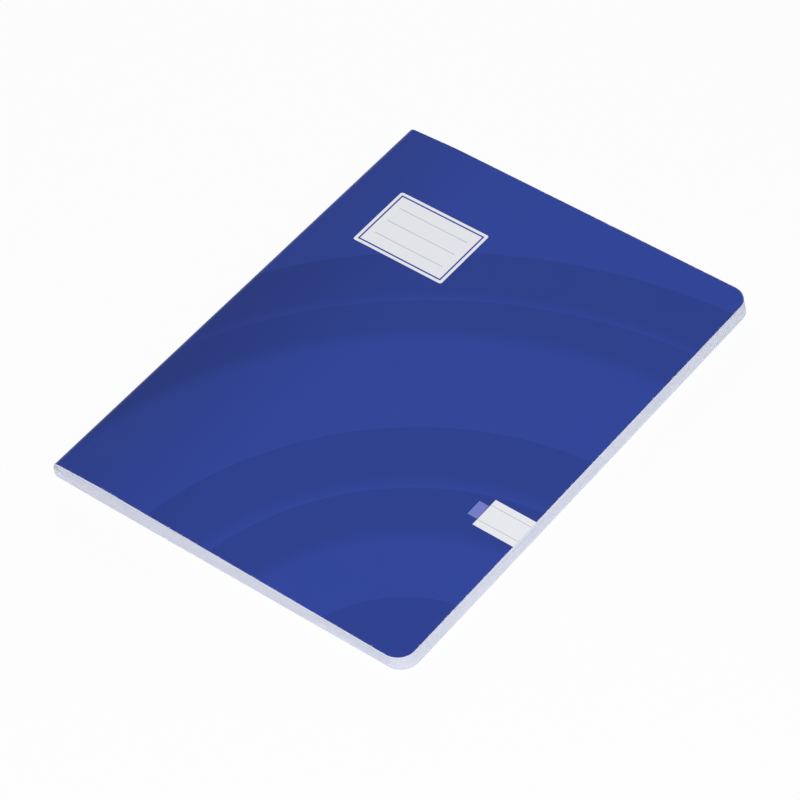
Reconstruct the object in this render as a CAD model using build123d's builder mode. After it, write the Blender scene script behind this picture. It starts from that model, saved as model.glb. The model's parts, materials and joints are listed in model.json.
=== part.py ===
"""Stapled exercise book, closed and lying on its back cover.

Folded sheets are nested inside a folded card cover and held at the spine by two wire staples.
Each sheet turns about its crease, so it is made as a front leaf and a back leaf that meet there.
Millimetres. X runs from the spine to the fore edge, Y from the tail to the head, Z upwards.
"""
import os

from build123d import *

# Format of the closed book
page_length = 220.0
closed_width = 170.0
corner_radius = 7.5

# Paper and card
sheet_count = 24
paper_thickness = 0.10
cover_thickness = 0.30

# Air between neighbouring leaves, at the fold, where the book is fattest and at the fore edge
fold_air = 0.039
belly_air = 0.078
fore_edge_air = 0.021

# Shape of the closed book, seen on its end
belly_distance = 20.0
belly_bend_radius = 150.0
spine_lift = 0.4
front_shoulder_radius = 3.4
back_shoulder_radius = 1.4
fore_edge_lean = 0.95
crease_gap = 0.06

# Staples
wire_diameter = 0.45
wire_bend_radius = 0.45
wire_clearance = 0.04
staple_crown = 13.0
staple_spacing = 115.0
clinch_length = 4.2
clinch_room = 0.28
crown_stand_off = 0.10

# Heights and radii that follow from the sizes above
leaf_count = 2 * sheet_count
wire_radius = wire_diameter / 2
sheet_pitch = paper_thickness + fold_air
cover_level = clinch_room + sheet_count * sheet_pitch
fold_level = cover_level + cover_thickness
crease_z = spine_lift + fold_level

# Places across the book, centred on its box: the crown's axis is the hinge line of the spine
overall_width = wire_radius + crown_stand_off + closed_width
hinge_x = wire_radius - overall_width / 2
spine_x = hinge_x + crown_stand_off
fold_x = spine_x + fold_level
belly_x = fold_x + belly_distance
fore_edge_x = overall_width / 2


def leaf_base(layer, air):
    """Height of a leaf's underside, counting layers up from the back cover, which is layer 0."""
    return cover_thickness + air / 2 + (layer - 1) * (paper_thickness + air)


def front_cover_base(air):
    """Height of the front cover's underside, on top of all the leaves."""
    return cover_thickness + leaf_count * (paper_thickness + air)


def shoulder_at(level, cover_radius):
    """Inner radius of the rounded shoulder of a fold, smaller towards the middle of the nest."""
    return (cover_radius - cover_thickness) * level / cover_level


def fore_edge_at(layer):
    """Fore edge of a layer: the upper layers are drawn back towards the spine."""
    return fore_edge_x - fore_edge_lean * layer / (leaf_count + 1)


def staple_points(centre_y):
    """Route of a staple's wire, from one clinched tip over the crown to the other tip."""
    low = centre_y - staple_crown / 2
    high = centre_y + staple_crown / 2
    return [
        (fold_x, low + clinch_length, crease_z),
        (fold_x, low, crease_z),
        (hinge_x, low, crease_z),
        (hinge_x, high, crease_z),
        (fold_x, high, crease_z),
        (fold_x, high - clinch_length, crease_z),
    ]


def staple_wire(centre_y, radius):
    """Round wire along a staple's route."""
    with BuildPart() as wire:
        with BuildLine() as route:
            FilletPolyline(*staple_points(centre_y), radius=wire_bend_radius)
        with BuildSketch(Plane(origin=route.line @ 0, z_dir=route.line % 0)):
            Circle(radius)
        sweep()
    return wire.part


def crown_bore(centre_y, radius):
    """Straight bore along a staple's crown, past both of its bends."""
    with BuildPart() as bore:
        with BuildSketch(Plane.XZ.offset(-centre_y)):
            with Locations((hinge_x, crease_z)):
                Circle(radius)
        extrude(amount=staple_crown / 2 + radius, both=True)
    return bore.part


def staple_rooms():
    """Spaces that the staples need: the wire with its clearance, and a bore round each crown."""
    hole_radius = wire_radius + wire_clearance
    rooms = []
    for centre_y in staple_places:
        rooms += [staple_wire(centre_y, hole_radius), crown_bore(centre_y, hole_radius)]
    return rooms


def half_sheet(name, points, radii, thickness, outside):
    """One half of a folded sheet: its inner face follows the points from the crease to the fore edge."""
    with BuildPart() as half:
        with BuildSketch(Plane.XZ):
            with BuildLine():
                FilletPolyline(*points, radius=radii)
                offset(amount=thickness, side=outside)
            make_face()
        extrude(amount=page_length / 2, both=True)
        fore_edge = half.faces().sort_by(Axis.X)[-1]
        fillet(fore_edge.edges().filter_by(Axis.Y, reverse=True), radius=corner_radius)
        for room in rooms_for_staples:
            add(room, mode=Mode.SUBTRACT)
    half.part.label = name
    return half.part


def leaf(number):
    """A leaf by its number: the first lies under the front cover, the last on the back cover."""
    in_front = number <= sheet_count
    sheet = number if in_front else leaf_count + 1 - number
    level = clinch_room + (sheet_count - sheet) * sheet_pitch
    layer = leaf_count + 1 - number
    up = 1 if in_front else -1
    inner_face = 0 if in_front else paper_thickness
    points = [
        (fold_x - level, crease_z + up * crease_gap / 2),
        (fold_x - level, crease_z + up * level),
        (belly_x, leaf_base(layer, belly_air) + inner_face),
        (fore_edge_at(layer), leaf_base(layer, fore_edge_air) + inner_face),
    ]
    cover_radius = front_shoulder_radius if in_front else back_shoulder_radius
    radii = [shoulder_at(level, cover_radius), belly_bend_radius]
    outside = Side.LEFT if in_front else Side.RIGHT
    return half_sheet(f"leaf_{number:02d}", points, radii, paper_thickness, outside)


def front_cover():
    """Upper half of the card cover, which rises from the spine and falls to the fore edge."""
    points = [
        (fold_x - cover_level, crease_z + crease_gap / 2),
        (fold_x - cover_level, crease_z + cover_level),
        (belly_x, front_cover_base(belly_air)),
        (fore_edge_at(leaf_count + 1), front_cover_base(fore_edge_air)),
    ]
    radii = [shoulder_at(cover_level, front_shoulder_radius), belly_bend_radius]
    return half_sheet("front_cover", points, radii, cover_thickness, Side.LEFT)


def back_cover():
    """Lower half of the card cover, which falls from the spine and lies flat on the table."""
    points = [
        (fold_x - cover_level, crease_z - crease_gap / 2),
        (fold_x - cover_level, crease_z - cover_level),
        (belly_x, cover_thickness),
        (fore_edge_at(0), cover_thickness),
    ]
    radii = [shoulder_at(cover_level, back_shoulder_radius), belly_bend_radius]
    return half_sheet("back_cover", points, radii, cover_thickness, Side.RIGHT)


def staple(name, centre_y):
    """A closed wire staple: crown outside the spine, legs through the creases, tips clinched inside."""
    wire = staple_wire(centre_y, wire_radius)
    wire.label = name
    return wire


staple_places = [staple_spacing / 2, -staple_spacing / 2]
rooms_for_staples = staple_rooms()

pieces = [back_cover(), front_cover()]
pieces += [leaf(number) for number in range(1, leaf_count + 1)]
pieces += [staple(name, place) for name, place in zip(["staple_head", "staple_tail"], staple_places)]

os.makedirs("parts", exist_ok=True)
for piece in pieces:
    export_step(piece, f"parts/{piece.label}.step")
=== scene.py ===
"""Looks of a stapled exercise book: a laminated card cover, ruled paper leaves and two wire staples.

Metres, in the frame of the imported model: X runs from the spine to the fore edge, Y from the tail to the
head, and Z upwards.
"""
import json
import math

import bmesh
import bpy
from mathutils import Matrix, Vector


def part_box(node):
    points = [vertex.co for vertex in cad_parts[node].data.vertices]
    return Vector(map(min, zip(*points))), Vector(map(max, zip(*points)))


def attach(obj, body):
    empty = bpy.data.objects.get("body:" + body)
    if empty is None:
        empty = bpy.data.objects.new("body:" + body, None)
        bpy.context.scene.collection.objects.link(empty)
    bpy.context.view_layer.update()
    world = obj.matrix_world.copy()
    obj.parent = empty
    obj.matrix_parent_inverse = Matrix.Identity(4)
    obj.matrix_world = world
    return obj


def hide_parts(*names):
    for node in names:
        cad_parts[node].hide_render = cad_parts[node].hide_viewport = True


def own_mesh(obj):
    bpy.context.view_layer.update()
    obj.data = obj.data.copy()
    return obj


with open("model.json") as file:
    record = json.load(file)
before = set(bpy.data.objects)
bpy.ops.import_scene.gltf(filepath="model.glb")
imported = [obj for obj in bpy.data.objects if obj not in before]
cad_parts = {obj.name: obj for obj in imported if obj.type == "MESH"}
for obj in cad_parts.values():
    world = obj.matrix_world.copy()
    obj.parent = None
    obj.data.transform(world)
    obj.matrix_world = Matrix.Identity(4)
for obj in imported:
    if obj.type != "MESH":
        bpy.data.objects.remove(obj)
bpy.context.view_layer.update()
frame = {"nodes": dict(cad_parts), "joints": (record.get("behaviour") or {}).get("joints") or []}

MM = 0.001


def flat(across, along):
    """A place or a size across and along the book, given in millimetres."""
    return (across * MM, along * MM, 0.0)


def srgb(red, green, blue):
    """Linear colour of a screen colour that is given from 0 to 255."""
    channels = [c / 255 for c in (red, green, blue)]
    return tuple(c / 12.92 if c <= 0.04045 else ((c + 0.055) / 1.055) ** 2.4 for c in channels) + (1.0,)


# Paper and card
SHEET_COUNT = 24
LEAF_COUNT = 2 * SHEET_COUNT
PAPER_THICKNESS = 0.10 * MM
CARD_THICKNESS = 0.30 * MM
CORNER_RADIUS = 7.5 * MM

# From one leaf to the next: at the fold, where the book is fattest and at the fore edge
FOLD_PITCH = 0.139 * MM
BELLY_PITCH = 0.178 * MM
FORE_EDGE_PITCH = 0.121 * MM

# Folds of the sheets, seen on the end of the book
CLINCH_ROOM = 0.28 * MM
COVER_LEVEL = CLINCH_ROOM + SHEET_COUNT * FOLD_PITCH
FRONT_SHOULDER_RADIUS = 3.4 * MM
BACK_SHOULDER_RADIUS = 1.4 * MM
BELLY_DISTANCE = 20.0 * MM
BELLY_BEND_RADIUS = 150.0 * MM
FOLD_SEGMENTS = 14
CORNER_SEGMENTS = 12

# Points that are nearer to each other than this are in the same place
SAME_PLACE = 0.01 * MM

# Places taken from the frame: every joint turns about the one hinge line
front_low, front_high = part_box("front_cover")
back_low, back_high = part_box("back_cover")
half_length = front_high.y
hinge = Vector(frame["joints"][0]["pos_m"])
fold_x = front_low.x + CARD_THICKNESS + COVER_LEVEL
belly_x = fold_x + BELLY_DISTANCE

# Softness of a printed edge, and the corner of a patch that looks square
PRINT_EDGE = 0.06 * MM
SQUARE_CORNER = 0.15 * MM

# Shares of a drawn line's width, from its middle, at which it starts to fade and is gone
LINE_FADE = (0.35, 0.65)

# Label panel of the front cover, with its frame line and writing lines
PANEL_CENTRE = flat(-41.2, 62.1)
PANEL_HALF = flat(22.1, 15.8)
PANEL_CORNER = 1.0 * MM
PANEL_FRAME_INSET = 1.7 * MM
PANEL_FRAME_WIDTH = 0.7 * MM
PANEL_RULE_INSET = 5.0 * MM
PANEL_RULE_END = 0.2 * MM
PANEL_RULE_PITCH = 8.0 * MM
PANEL_RULE_WIDTH = 0.3 * MM

# Name field of the front cover, which runs off at the fore edge, and the tag beside it
FIELD_CENTRE = flat(85.4, -36.7)
FIELD_HALF = flat(20.0, 7.15)
FIELD_RULE_DISTANCE = 4.15 * MM
FIELD_RULE_WIDTH = 0.25 * MM
TAG_CENTRE = flat(62.95, -37.1)
TAG_HALF = flat(2.2, 3.7)

# Sweeping bands of the cover design, the outermost of them a painted sheen: circles about one centre, each
# an inner and an outer radius
SWEEP_CENTRE = flat(96.0, -128.0)
PRINT_AND_SHEEN_SWEEPS = (
    (52.0 * MM, 86.0 * MM),
    (104.0 * MM, 112.0 * MM),
    (134.0 * MM, 186.0 * MM),
    (200.0 * MM, 206.0 * MM),
    # Painted sheen, not print: this band lightens the blue towards the head and the corner of the head and
    # fore edge
    (226.0 * MM, 330.0 * MM),
)
SWEEP_CRISP_EDGE = 0.5 * MM
SWEEP_SOFT_EDGE = 9.0 * MM
SWEEP_SHARE = 0.4

# Painted light in the cover's blue: a painted shade that is deep at the spine, clearing to a painted sheen
# across the book, a little aslant
SHADE_TO_SHEEN_SPAN = (-90.0 * MM, -20.0 * MM)
SHADE_TO_SHEEN_SLANT = 0.08
SHADE_TO_SHEEN_SHARE = 0.55

# Rubbing of the print along the cut edges of the cover
RUBBED_BAND = 0.7 * MM
RUBBED_SCALE = 700.0
RUBBED_SPAN = (0.52, 0.72)
RUBBED_SHARE = 0.4

# Ruling of the leaves
RULED_HALF = flat(79.0, 92.0)
RULE_PITCH = 8.0 * MM
RULE_WIDTH = 0.16 * MM
MARGIN_WIDTH = 0.22 * MM
MARGIN_REACH = 106.0 * MM
RECTO_MARGIN_X = -56.0 * MM
VERSO_MARGIN_X = 56.0 * MM

# Layers of the cut page edges: a noise that hardly changes along them
LAYER_STRETCH = (0.01, 0.01, 1.0)
LAYER_SCALE = 1300.0
LAYER_SPAN = (0.42, 0.72)

# Pressed fibres: drawn out along the book, and mixed with broad clouds for the shade
FIBRE_STRETCH = (1.0, 0.35, 1.0)
FIBRE_SHARE = 0.4
CLOUD_SHARE = 0.6
SHADE_SPAN = (0.2, 0.8)

# How squarely a face looks up or down: a page against a cut edge, and the rim of the cover's crease
PAGE_FACING = (0.5, 0.7)
CREASE_FACING = (0.6, 0.8)

# Most values of a noise lie between these
NOISE_MIDDLE = (0.3, 0.7)

# Surface of the print, card and paper: least and most roughness, and the strength and depth of its bump
PRINT_ROUGHNESS = (0.33, 0.45)
PRINT_BUMP = (0.12, 0.02 * MM)
PRINT_SMEAR_SCALE = 38.0
PRINT_GRAIN_SCALE = 1500.0
CARD_ROUGHNESS = (0.62, 0.8)
CARD_BUMP = (0.12, 0.02 * MM)
PAPER_ROUGHNESS = (0.72, 0.88)
PAPER_BUMP = (0.15, 0.02 * MM)

# Drawn wire: fine lines along it and dull spots, and what each adds to the roughness
WIRE_STRETCH = (1.0, 0.06, 1.0)
WIRE_LINE_SCALE = 9000.0
WIRE_DULL_SCALE = 600.0
WIRE_DULL_SPAN = (0.45, 0.7)
WIRE_ROUGHNESS = 0.16
WIRE_LINE_ROUGHNESS = 0.2
WIRE_DULL_ROUGHNESS = 0.15
WIRE_BUMP = (0.2, 0.01 * MM)

# Studio
FLOOR_HALF_SIZE = 6.0
FLOOR_DROP = 0.02 * MM
FLOOR_SHOWN_WHITE = 0.9
WORLD_STRENGTH = 0.35
SENSOR_WIDTH = 36.0

# Colours
# Deep and clear blue are the ends of the print's tone, and also of the painted shade at the spine and the
# painted sheen across the cover
DEEP_BLUE = srgb(30, 51, 126)
CLEAR_BLUE = srgb(41, 65, 156)
PATCH_WHITE = srgb(236, 237, 242)
RULE_GREY = srgb(176, 182, 196)
TAG_LILAC = srgb(116, 126, 200)
CARD_WHITE = srgb(232, 237, 250)
CARD_CORE = srgb(222, 229, 246)
# The cut edge's whites are the card's own white with a painted highlight on top
CUT_WHITE_AND_HIGHLIGHT = srgb(248, 250, 255)
CUT_SHADE_AND_HIGHLIGHT = srgb(238, 241, 250)
PAPER_WHITE = srgb(238, 241, 252)
PAPER_SHADE = srgb(229, 233, 247)
LAYER_SHADE = srgb(212, 217, 234)
RULE_BLUE = srgb(168, 178, 222)
MARGIN_RED = srgb(226, 150, 160)
STEEL_LIGHT = srgb(206, 208, 212)
STEEL_DARK = srgb(150, 153, 160)
FLOOR_WHITE = srgb(240, 240, 242)
WORLD_WHITE = srgb(255, 255, 255)


class Nodes:
    """Short calls for building one node tree."""

    def __init__(self, tree):
        self.tree = tree

    def put(self, socket, value):
        """Links a socket to another node's output, or sets its own value."""
        if isinstance(value, bpy.types.NodeSocket):
            self.tree.links.new(value, socket)
        else:
            socket.default_value = value

    def add(self, kind, inputs=(), **settings):
        """A new node with its settings, and its inputs by name or number."""
        node = self.tree.nodes.new(kind)
        for key, value in settings.items():
            setattr(node, key, value)
        for key, value in dict(inputs).items():
            self.put(node.inputs[key], value)
        return node

    def math(self, operation, *values, clamp=False):
        node = self.add("ShaderNodeMath", enumerate(values), operation=operation, use_clamp=clamp)
        return node.outputs[0]

    def product(self, first, *others):
        """All the values multiplied."""
        for other in others:
            first = self.math("MULTIPLY", first, other)
        return first

    def vector(self, operation, *values):
        node = self.add("ShaderNodeVectorMath", enumerate(values), operation=operation)
        return node.outputs["Value" if operation == "LENGTH" else "Vector"]

    def split(self, vector):
        """The outputs X, Y and Z of a vector."""
        return self.add("ShaderNodeSeparateXYZ", {"Vector": vector}).outputs

    def mix(self, share, first, second):
        """The first colour, with a share of the second."""
        node = self.add("ShaderNodeMix", data_type="RGBA")
        # The colour sockets go by number, because those of the node's other types have the same names
        for key, value in zip((0, 6, 7), (share, first, second)):
            self.put(node.inputs[key], value)
        return node.outputs[2]

    def span(self, value, low, high, from_value=0.0, to_value=1.0):
        """A smooth step from one value to another while the input goes from low to high."""
        inputs = {
            "Value": value, "From Min": low, "From Max": high, "To Min": from_value, "To Max": to_value,
        }
        return self.add("ShaderNodeMapRange", inputs, interpolation_type="SMOOTHSTEP").outputs["Result"]

    def noise(self, place, scale, detail=3.0, roughness=0.55):
        inputs = {"Vector": place, "Scale": scale, "Detail": detail, "Roughness": roughness}
        return self.add("ShaderNodeTexNoise", inputs).outputs["Fac"]

    def group(self, tree, **inputs):
        """The outputs of a placed node group."""
        node = self.add("ShaderNodeGroup", node_tree=tree)
        for key, value in inputs.items():
            self.put(node.inputs[key.replace("_", " ")], value)
        return node.outputs


def new_group(name, inputs, outputs):
    """An empty shader node group with its sockets, and the nodes that stand for them."""
    tree = bpy.data.node_groups.new(name, "ShaderNodeTree")
    for label, kind in inputs:
        tree.interface.new_socket(label, in_out="INPUT", socket_type=kind)
    for label, kind in outputs:
        tree.interface.new_socket(label, in_out="OUTPUT", socket_type=kind)
    nodes = Nodes(tree)
    return tree, nodes, nodes.add("NodeGroupInput").outputs, nodes.add("NodeGroupOutput").inputs


def make_patch_group():
    """Mask of a printed patch with round corners, and how far a point is outside its outline."""
    tree, nodes, given, wanted = new_group(
        "printed_patch",
        [("Place", "NodeSocketVector"), ("Centre", "NodeSocketVector"), ("Half Size", "NodeSocketVector"),
         ("Corner", "NodeSocketFloat"), ("Softness", "NodeSocketFloat")],
        [("Mask", "NodeSocketFloat"), ("Distance", "NodeSocketFloat")],
    )
    from_centre = nodes.vector("ABSOLUTE", nodes.vector("SUBTRACT", given["Place"], given["Centre"]))
    reach = nodes.split(nodes.vector("SUBTRACT", from_centre, given["Half Size"]))
    over_x = nodes.math("ADD", reach["X"], given["Corner"])
    over_y = nodes.math("ADD", reach["Y"], given["Corner"])
    outside_x = nodes.math("MAXIMUM", over_x, 0.0)
    outside_y = nodes.math("MAXIMUM", over_y, 0.0)
    squares = nodes.math("ADD", nodes.product(outside_x, outside_x), nodes.product(outside_y, outside_y))
    inside = nodes.math("MINIMUM", nodes.math("MAXIMUM", over_x, over_y), 0.0)
    outside = nodes.math("SQRT", squares)
    distance = nodes.math("SUBTRACT", nodes.math("ADD", outside, inside), given["Corner"])
    nodes.put(wanted["Distance"], distance)
    soft = given["Softness"]
    nodes.put(wanted["Mask"], nodes.span(distance, nodes.product(soft, -1.0), soft, 1.0, 0.0))
    return tree


def make_line_group():
    """Mask of a drawn line, from the distance to its middle."""
    tree, nodes, given, wanted = new_group(
        "drawn_line",
        [("Distance", "NodeSocketFloat"), ("Width", "NodeSocketFloat")],
        [("Mask", "NodeSocketFloat")],
    )
    away = nodes.math("ABSOLUTE", given["Distance"])
    fading, gone = (nodes.product(given["Width"], share) for share in LINE_FADE)
    nodes.put(wanted["Mask"], nodes.span(away, fading, gone, 1.0, 0.0))
    return tree


def make_fibre_group():
    """Pressed fibres of paper and card: a cloudy shade and a fine height."""
    tree, nodes, given, wanted = new_group(
        "pressed_fibres",
        [("Place", "NodeSocketVector"), ("Cloud Scale", "NodeSocketFloat"),
         ("Fibre Scale", "NodeSocketFloat")],
        [("Shade", "NodeSocketFloat"), ("Height", "NodeSocketFloat")],
    )
    clouds = nodes.noise(given["Place"], given["Cloud Scale"], detail=4.0)
    drawn_out = nodes.vector("MULTIPLY", given["Place"], FIBRE_STRETCH)
    fibres = nodes.noise(drawn_out, given["Fibre Scale"], detail=5.0, roughness=0.65)
    shade = nodes.math("ADD", nodes.product(clouds, CLOUD_SHARE), nodes.product(fibres, FIBRE_SHARE))
    nodes.put(wanted["Shade"], nodes.span(shade, *SHADE_SPAN))
    nodes.put(wanted["Height"], fibres)
    return tree


printed_patch = make_patch_group()
drawn_line = make_line_group()
pressed_fibres = make_fibre_group()


def place_patch(nodes, place, centre, half_size, corner):
    """A printed patch on a material, with the softness that all printed edges have."""
    return nodes.group(
        printed_patch, Place=place, Centre=centre, Half_Size=half_size, Corner=corner, Softness=PRINT_EDGE,
    )


def place_line(nodes, distance, width):
    """Mask of a drawn line on a material."""
    return nodes.group(drawn_line, Distance=distance, Width=width)["Mask"]


def new_material(name, **finish):
    """A material with one Principled shader, whose own sockets hold what is the same all over."""
    material = bpy.data.materials.new(name)
    material.use_nodes = True
    nodes = Nodes(material.node_tree)
    shader = material.node_tree.nodes["Principled BSDF"]
    for label, value in finish.items():
        shader.inputs[label.replace("_", " ")].default_value = value
    coordinates = nodes.add("ShaderNodeTexCoord").outputs
    return material, nodes, shader.inputs, coordinates


def raise_surface(nodes, surface, height, strength, depth):
    """Bump on a material, from a height that goes from 0 to 1."""
    bump = nodes.add("ShaderNodeBump", {"Height": height, "Strength": strength, "Distance": depth})
    nodes.put(surface["Normal"], bump.outputs["Normal"])


def sweeping_blue_with_painted_light(nodes, place):
    """Ground of the cover: broad sweeping print bands tone on tone, the outermost of them a painted sheen,
    over a painted shade that is deep at the spine and clears to a painted sheen across the book.
    """
    level = nodes.vector("MULTIPLY", nodes.vector("SUBTRACT", place, SWEEP_CENTRE), (1.0, 1.0, 0.0))
    radius = nodes.vector("LENGTH", level)
    swept = 0.0
    for inner, outer in PRINT_AND_SHEEN_SWEEPS:
        crisp = nodes.span(radius, inner, inner + SWEEP_CRISP_EDGE)
        soft = nodes.span(radius, outer - SWEEP_SOFT_EDGE, outer, 1.0, 0.0)
        swept = nodes.math("MAXIMUM", swept, nodes.product(crisp, soft))
    at = nodes.split(place)
    # Painted shade deep at the spine, clearing to a painted sheen across the book
    fade = nodes.span(nodes.math("ADD", at["X"], nodes.product(at["Y"], SHADE_TO_SHEEN_SLANT)), *SHADE_TO_SHEEN_SPAN)
    painted_light_tone = nodes.product(fade, SHADE_TO_SHEEN_SHARE)
    tone = nodes.math("ADD", painted_light_tone, nodes.product(swept, SWEEP_SHARE), clamp=True)
    return nodes.mix(tone, DEEP_BLUE, CLEAR_BLUE)


def print_label_panel(nodes, place, colour):
    """White label panel with a blue frame line and grey writing lines."""
    panel = place_patch(nodes, place, PANEL_CENTRE, PANEL_HALF, PANEL_CORNER)
    colour = nodes.mix(panel["Mask"], colour, PATCH_WHITE)
    from_frame = nodes.math("ADD", panel["Distance"], PANEL_FRAME_INSET)
    colour = nodes.mix(place_line(nodes, from_frame, PANEL_FRAME_WIDTH), colour, CLEAR_BLUE)
    within = nodes.span(panel["Distance"], -PANEL_RULE_INSET - PANEL_RULE_END, -PANEL_RULE_INSET, 1.0, 0.0)
    from_middle = nodes.math("SUBTRACT", nodes.split(place)["Y"], PANEL_CENTRE[1])
    from_rule = nodes.math("PINGPONG", from_middle, PANEL_RULE_PITCH / 2)
    rules = place_line(nodes, from_rule, PANEL_RULE_WIDTH)
    return nodes.mix(nodes.product(rules, within), colour, RULE_GREY)


def print_name_field(nodes, place, colour):
    """White name field with two grey rules, and a lilac tag beside it."""
    field = place_patch(nodes, place, FIELD_CENTRE, FIELD_HALF, SQUARE_CORNER)["Mask"]
    colour = nodes.mix(field, colour, PATCH_WHITE)
    from_middle = nodes.math("SUBTRACT", nodes.split(place)["Y"], FIELD_CENTRE[1])
    from_rule = nodes.math("SUBTRACT", nodes.math("ABSOLUTE", from_middle), FIELD_RULE_DISTANCE)
    rules = place_line(nodes, from_rule, FIELD_RULE_WIDTH)
    colour = nodes.mix(nodes.product(rules, field), colour, RULE_GREY)
    tag = place_patch(nodes, place, TAG_CENTRE, TAG_HALF, SQUARE_CORNER)["Mask"]
    return nodes.mix(tag, colour, TAG_LILAC)


def rub_edges(nodes, place, low, high, colour):
    """Specks of bare card along the cut edges of a cover half, but not along its fold."""
    size = (high.x - low.x, half_length, 0.0)
    outline = place_patch(nodes, place, (low.x, 0.0, 0.0), size, CORNER_RADIUS)["Distance"]
    near_edge = nodes.span(outline, -RUBBED_BAND, 0.0)
    specks = nodes.span(nodes.noise(place, RUBBED_SCALE), *RUBBED_SPAN)
    return nodes.mix(nodes.product(near_edge, specks, RUBBED_SHARE), colour, CARD_WHITE)


def make_cover_print(name, low, high, with_patches):
    """Blue laminated print of a cover half, with painted shade and painted sheen in its blue, and with a
    label panel and a name field on the front one.
    """
    material, nodes, surface, coordinates = new_material(name, Specular_IOR_Level=0.35)
    place = coordinates["Object"]
    colour = sweeping_blue_with_painted_light(nodes, place)
    if with_patches:
        colour = print_label_panel(nodes, place, colour)
        colour = print_name_field(nodes, place, colour)
    nodes.put(surface["Base Color"], rub_edges(nodes, place, low, high, colour))
    smears = nodes.noise(place, PRINT_SMEAR_SCALE, detail=5.0)
    nodes.put(surface["Roughness"], nodes.span(smears, *NOISE_MIDDLE, *PRINT_ROUGHNESS))
    raise_surface(nodes, surface, nodes.noise(place, PRINT_GRAIN_SCALE, detail=2.0), *PRINT_BUMP)
    return material


def make_card(name, light, dark, crease):
    """Bare white card, for the inside of the cover and for its cut edge, which takes lighter whites as a
    painted highlight.

    A face that looks straight up or down takes the crease colour where one is given, because the print
    goes on round the fold there.
    """
    material, nodes, surface, coordinates = new_material(name, Specular_IOR_Level=0.3)
    fibres = nodes.group(pressed_fibres, Place=coordinates["Object"], Cloud_Scale=120.0, Fibre_Scale=2600.0)
    colour = nodes.mix(fibres["Shade"], light, dark)
    if crease:
        upright = nodes.math("ABSOLUTE", nodes.split(coordinates["Normal"])["Z"])
        colour = nodes.mix(nodes.span(upright, *CREASE_FACING), colour, crease)
    nodes.put(surface["Base Color"], colour)
    nodes.put(surface["Roughness"], nodes.span(fibres["Height"], *NOISE_MIDDLE, *CARD_ROUGHNESS))
    raise_surface(nodes, surface, fibres["Height"], *CARD_BUMP)
    return material


def rule_pages(nodes, place, recto, verso, colour):
    """Pale ruling on both pages of a leaf, and a red margin on the left of each."""
    at = nodes.split(place)
    type_area = place_patch(nodes, place, flat(0.0, 0.0), RULED_HALF, SQUARE_CORNER)["Mask"]
    from_rule = nodes.math("PINGPONG", nodes.math("ADD", at["Y"], RULE_PITCH / 2), RULE_PITCH / 2)
    rules = nodes.product(place_line(nodes, from_rule, RULE_WIDTH), type_area)
    within = nodes.math("LESS_THAN", nodes.math("ABSOLUTE", at["Y"]), MARGIN_REACH)
    for side, margin_x in ((recto, RECTO_MARGIN_X), (verso, VERSO_MARGIN_X)):
        margin = place_line(nodes, nodes.math("SUBTRACT", at["X"], margin_x), MARGIN_WIDTH)
        colour = nodes.mix(nodes.product(rules, side), colour, RULE_BLUE)
        colour = nodes.mix(nodes.product(margin, within, side), colour, MARGIN_RED)
    return colour


def make_leaf_paper():
    """Ruled writing paper, whose cut edges show as fine layers."""
    material, nodes, surface, coordinates = new_material("ruled_paper", Specular_IOR_Level=0.2)
    place = coordinates["Object"]
    facing = nodes.split(coordinates["Normal"])["Z"]
    low, high = PAGE_FACING
    recto = nodes.span(facing, low, high)
    verso = nodes.span(facing, -high, -low, 1.0, 0.0)
    page = nodes.math("MAXIMUM", recto, verso)
    cut = nodes.math("SUBTRACT", 1.0, page)
    fibres = nodes.group(pressed_fibres, Place=place, Cloud_Scale=90.0, Fibre_Scale=2200.0)
    colour = nodes.mix(fibres["Shade"], PAPER_WHITE, PAPER_SHADE)
    colour = rule_pages(nodes, place, recto, verso, colour)
    layers = nodes.noise(nodes.vector("MULTIPLY", place, LAYER_STRETCH), LAYER_SCALE, detail=4.0)
    colour = nodes.mix(nodes.product(cut, nodes.span(layers, *LAYER_SPAN)), colour, LAYER_SHADE)
    nodes.put(surface["Base Color"], colour)
    nodes.put(surface["Roughness"], nodes.span(fibres["Height"], *NOISE_MIDDLE, *PAPER_ROUGHNESS))
    raise_surface(nodes, surface, nodes.product(fibres["Height"], page), *PAPER_BUMP)
    return material


def make_staple_steel():
    """Drawn steel wire, with fine lines along it and a few dull spots."""
    material, nodes, surface, coordinates = new_material("drawn_wire", Metallic=1.0)
    place = coordinates["Object"]
    lines = nodes.noise(nodes.vector("MULTIPLY", place, WIRE_STRETCH), WIRE_LINE_SCALE, detail=2.0)
    dull = nodes.span(nodes.noise(place, WIRE_DULL_SCALE), *WIRE_DULL_SPAN)
    nodes.put(surface["Base Color"], nodes.mix(dull, STEEL_LIGHT, STEEL_DARK))
    lined = nodes.math("MULTIPLY_ADD", lines, WIRE_LINE_ROUGHNESS, WIRE_ROUGHNESS)
    nodes.put(surface["Roughness"], nodes.math("MULTIPLY_ADD", dull, WIRE_DULL_ROUGHNESS, lined))
    raise_surface(nodes, surface, lines, *WIRE_BUMP)
    return material


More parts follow.
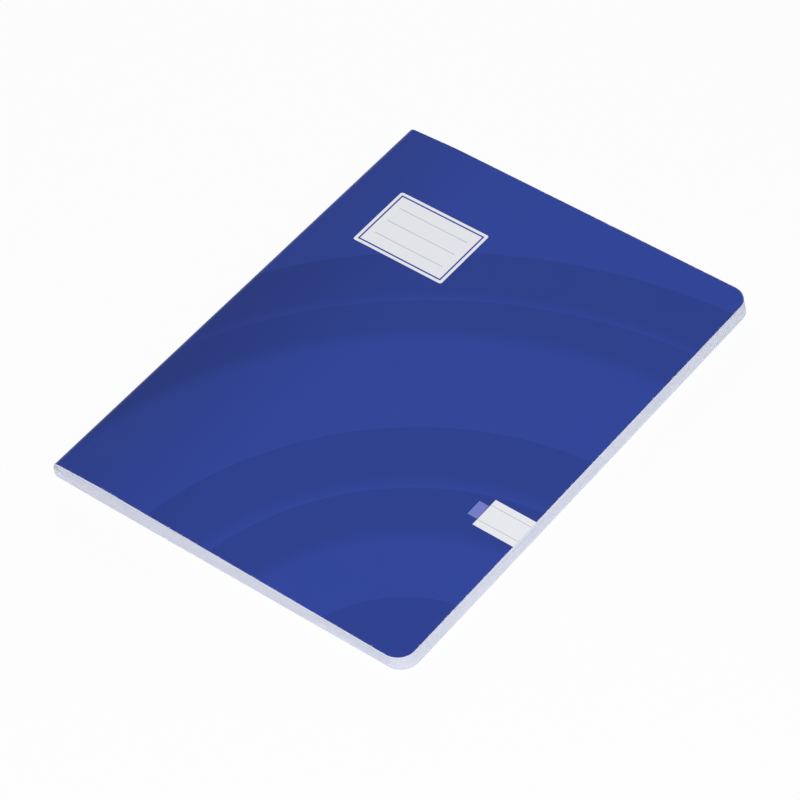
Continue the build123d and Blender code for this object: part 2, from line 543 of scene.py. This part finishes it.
def make_floor_finish():
    """White studio sweep that shows white to the camera and in reflections, and keeps a soft shadow."""
    material = bpy.data.materials.new("studio_sweep")
    material.use_nodes = True
    material.node_tree.nodes.clear()
    nodes = Nodes(material.node_tree)
    rays = nodes.add("ShaderNodeLightPath").outputs
    mirrored = nodes.math("ADD", rays["Is Glossy Ray"], rays["Is Transmission Ray"])
    seen = nodes.math("ADD", rays["Is Camera Ray"], mirrored, clamp=True)
    matt = nodes.add("ShaderNodeBsdfDiffuse", {"Color": FLOOR_WHITE}).outputs[0]
    white = nodes.add("ShaderNodeEmission", {"Strength": 1.0}).outputs[0]
    blend = nodes.add("ShaderNodeMixShader", {0: nodes.product(seen, FLOOR_SHOWN_WHITE), 1: matt, 2: white})
    nodes.add("ShaderNodeOutputMaterial", {"Surface": blend.outputs[0]})
    return material


def tangent_length(before, at, after, radius):
    """How far from a fold's corner its rounding starts, on a profile of three points."""
    turn = (Vector(at) - Vector(before)).angle(Vector(after) - Vector(at))
    return radius * math.tan(turn / 2)


def lies_on(vert, point):
    """Whether a vertex lies on a profile point, seen on the end of the book."""
    return math.hypot(vert.co.x - point[0], vert.co.z - point[1]) < SAME_PLACE


def folded_skin(profile, fold_radii):
    """Skin that runs from tail to head along a profile, with rounded folds and round fore-edge corners."""
    skin = bmesh.new()
    points = [skin.verts.new((x, -half_length, z)) for x, z in profile]
    run = [skin.edges.new(pair) for pair in zip(points, points[1:])]
    swept = bmesh.ops.extrude_edge_only(skin, edges=run)["geom"]
    head = [part for part in swept if isinstance(part, bmesh.types.BMVert)]
    bmesh.ops.translate(skin, verts=head, vec=(0.0, 2 * half_length, 0.0))
    for before, at, after, radius in zip(profile, profile[1:], profile[2:], fold_radii):
        fold = [edge for edge in skin.edges if all(lies_on(vert, at) for vert in edge.verts)]
        bmesh.ops.bevel(
            skin, geom=fold, offset=tangent_length(before, at, after, radius), offset_type="OFFSET",
            segments=FOLD_SEGMENTS, profile=0.5, affect="EDGES", material=-1,
        )
    fore_edge_x = profile[-1][0]
    corners = [vert for vert in skin.verts if vert.co.x > fore_edge_x - SAME_PLACE]
    bmesh.ops.bevel(
        skin, geom=corners, offset=CORNER_RADIUS, offset_type="OFFSET",
        segments=CORNER_SEGMENTS, profile=0.5, affect="VERTICES", material=-1,
    )
    return skin


def half_sheet(name, profile, fold_radii, thickness, outside, finishes):
    """Half of a folded sheet, whose inner face follows the profile and whose thickness lies outside it.

    The outside is 1 where it looks up and -1 where it looks down. The finishes are those of the outer
    face, the inner face and the cut edges.
    """
    skin = folded_skin(profile, fold_radii)
    skin.normal_update()
    broad = max(skin.faces, key=lambda face: face.calc_area())
    if broad.normal.z * outside < 0:
        bmesh.ops.reverse_faces(skin, faces=skin.faces)
    for face in skin.faces:
        face.smooth = True
    for edge in skin.edges:
        edge.smooth = not edge.is_boundary
    mesh = bpy.data.meshes.new(name)
    skin.to_mesh(mesh)
    skin.free()
    for finish in finishes:
        mesh.materials.append(finish)
    piece = bpy.data.objects.new(name, mesh)
    bpy.context.scene.collection.objects.link(piece)
    wall = piece.modifiers.new("thickness", "SOLIDIFY")
    wall.thickness = thickness
    wall.offset = 1.0
    wall.use_even_offset = True
    wall.material_offset = 1
    wall.material_offset_rim = 2
    return piece


def front_half(name, node, level, heights, thickness, finishes):
    """A front leaf or the front cover: it rises from the crease to the belly, and falls to the fore edge.

    The level is how far its inner face lies from the staples' clinched tips at the fold, and the heights
    are those of its underside at the belly and at the fore edge.
    """
    fore_edge_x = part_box(node)[1].x
    profile = [
        (fold_x - level, front_low.z), (fold_x - level, hinge.z + level),
        (belly_x, heights[0]), (fore_edge_x, heights[1]),
    ]
    shoulder = (FRONT_SHOULDER_RADIUS - CARD_THICKNESS) * level / COVER_LEVEL
    piece = half_sheet(name, profile, (shoulder, BELLY_BEND_RADIUS), thickness, 1, finishes)
    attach(piece, node)
    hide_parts(node)
    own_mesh(piece)
    return piece


def finish_node(name, finish):
    """Gives a carried-over CAD node its material."""
    for slot in frame["nodes"][name].material_slots:
        slot.material = finish


def bearing(azimuth, elevation):
    """Unit vector towards an azimuth from +X and an elevation, both in degrees."""
    a, e = math.radians(azimuth), math.radians(elevation)
    return Vector((math.cos(e) * math.cos(a), math.cos(e) * math.sin(a), math.sin(e)))


def add_floor():
    """Wide floor just below the book."""
    sweep = bmesh.new()
    bmesh.ops.create_grid(sweep, x_segments=1, y_segments=1, size=FLOOR_HALF_SIZE)
    bmesh.ops.translate(sweep, verts=sweep.verts, vec=(0.0, 0.0, -FLOOR_DROP))
    mesh = bpy.data.meshes.new("floor")
    sweep.to_mesh(mesh)
    sweep.free()
    mesh.materials.append(make_floor_finish())
    floor = bpy.data.objects.new("floor", mesh)
    bpy.context.scene.collection.objects.link(floor)


def add_world():
    """Even white light from all round."""
    world = bpy.data.worlds.new("studio")
    bpy.context.scene.world = world
    world.use_nodes = True
    background = world.node_tree.nodes["Background"].inputs
    background["Color"].default_value = WORLD_WHITE
    background["Strength"].default_value = WORLD_STRENGTH


def add_area_light(name, azimuth, elevation, distance, size, power, in_gloss=True):
    """A square softbox aimed at the middle of the book, which may be left out of glossy reflections."""
    lamp = bpy.data.lights.new(name, "AREA")
    lamp.size = size
    lamp.energy = power
    light = bpy.data.objects.new(name, lamp)
    light.visible_glossy = in_gloss
    bpy.context.scene.collection.objects.link(light)
    direction = bearing(azimuth, elevation)
    light.location = direction * distance
    light.rotation_euler = direction.to_track_quat("Z", "Y").to_euler()


def add_camera(azimuth, elevation, roll, distance, target, lens):
    """The scene's camera, which looks at the target and is rolled about its line of sight."""
    camera = bpy.data.objects.new("camera", bpy.data.cameras.new("camera"))
    bpy.context.scene.collection.objects.link(camera)
    camera.data.lens = lens
    camera.data.sensor_width = SENSOR_WIDTH
    towards = bearing(azimuth, elevation)
    right = (-towards).cross(Vector((0, 0, 1))).normalized()
    above = right.cross(-towards)
    tilt = math.radians(roll)
    across = right * math.cos(tilt) + above * math.sin(tilt)
    upwards = above * math.cos(tilt) - right * math.sin(tilt)
    turned = Matrix((across, upwards, towards)).transposed().to_4x4()
    camera.matrix_world = Matrix.Translation(Vector(target) + towards * distance) @ turned
    bpy.context.scene.camera = camera


# Finishes
card_inside = make_card("card_inside", CARD_WHITE, CARD_CORE, None)
# Cut edge: white card lightened by a painted highlight along the line under the cover
card_edge = make_card("card_cut_edge", CUT_WHITE_AND_HIGHLIGHT, CUT_SHADE_AND_HIGHLIGHT, DEEP_BLUE)
front_print = make_cover_print("front_print", front_low, front_high, True)
back_print = make_cover_print("back_print", back_low, back_high, False)
leaf_paper = make_leaf_paper()
staple_steel = make_staple_steel()
front_finishes = (front_print, card_inside, card_edge)
back_finishes = (back_print, card_inside, card_edge)
leaf_finishes = (leaf_paper, leaf_paper, leaf_paper)

# Cover
stack_tops = [CARD_THICKNESS + LEAF_COUNT * pitch for pitch in (BELLY_PITCH, FORE_EDGE_PITCH)]
front = front_half("cover_front", "front_cover", COVER_LEVEL, stack_tops, CARD_THICKNESS, front_finishes)

back_profile = [
    (fold_x - COVER_LEVEL, back_high.z), (fold_x - COVER_LEVEL, hinge.z - COVER_LEVEL),
    (belly_x, CARD_THICKNESS), (back_high.x, CARD_THICKNESS),
]
back_folds = (BACK_SHOULDER_RADIUS - CARD_THICKNESS, BELLY_BEND_RADIUS)
back = half_sheet("cover_back", back_profile, back_folds, CARD_THICKNESS, -1, back_finishes)
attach(back, "back_cover")
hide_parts("back_cover")

# Front leaves
for number in range(1, SHEET_COUNT + 1):
    leaf = f"leaf_{number:02d}"
    leaves_below = LEAF_COUNT - number
    bases = [
        CARD_THICKNESS + leaves_below * pitch + (pitch - PAPER_THICKNESS) / 2
        for pitch in (BELLY_PITCH, FORE_EDGE_PITCH)
    ]
    level = CLINCH_ROOM + (SHEET_COUNT - number) * FOLD_PITCH
    page = front_half(f"page_{number:02d}", leaf, level, bases, PAPER_THICKNESS, leaf_finishes)

# Back leaves and staples
for number in range(SHEET_COUNT + 1, LEAF_COUNT + 1):
    finish_node(f"leaf_{number:02d}", leaf_paper)
for name in ("staple_head", "staple_tail"):
    finish_node(name, staple_steel)

# Studio
add_floor()
add_world()
add_area_light("key_softbox", azimuth=-49, elevation=57, distance=1.5, size=1.0, power=15.8)
add_area_light("back_fill", azimuth=135, elevation=12, distance=1.2, size=0.4, power=5.5, in_gloss=False)
add_camera(
    azimuth=-46.749, elevation=47.328, roll=-6.881, distance=1.3698,
    target=flat(0.43, -5.47), lens=160.52,
)
bpy.context.scene.view_settings.view_transform = "Standard"
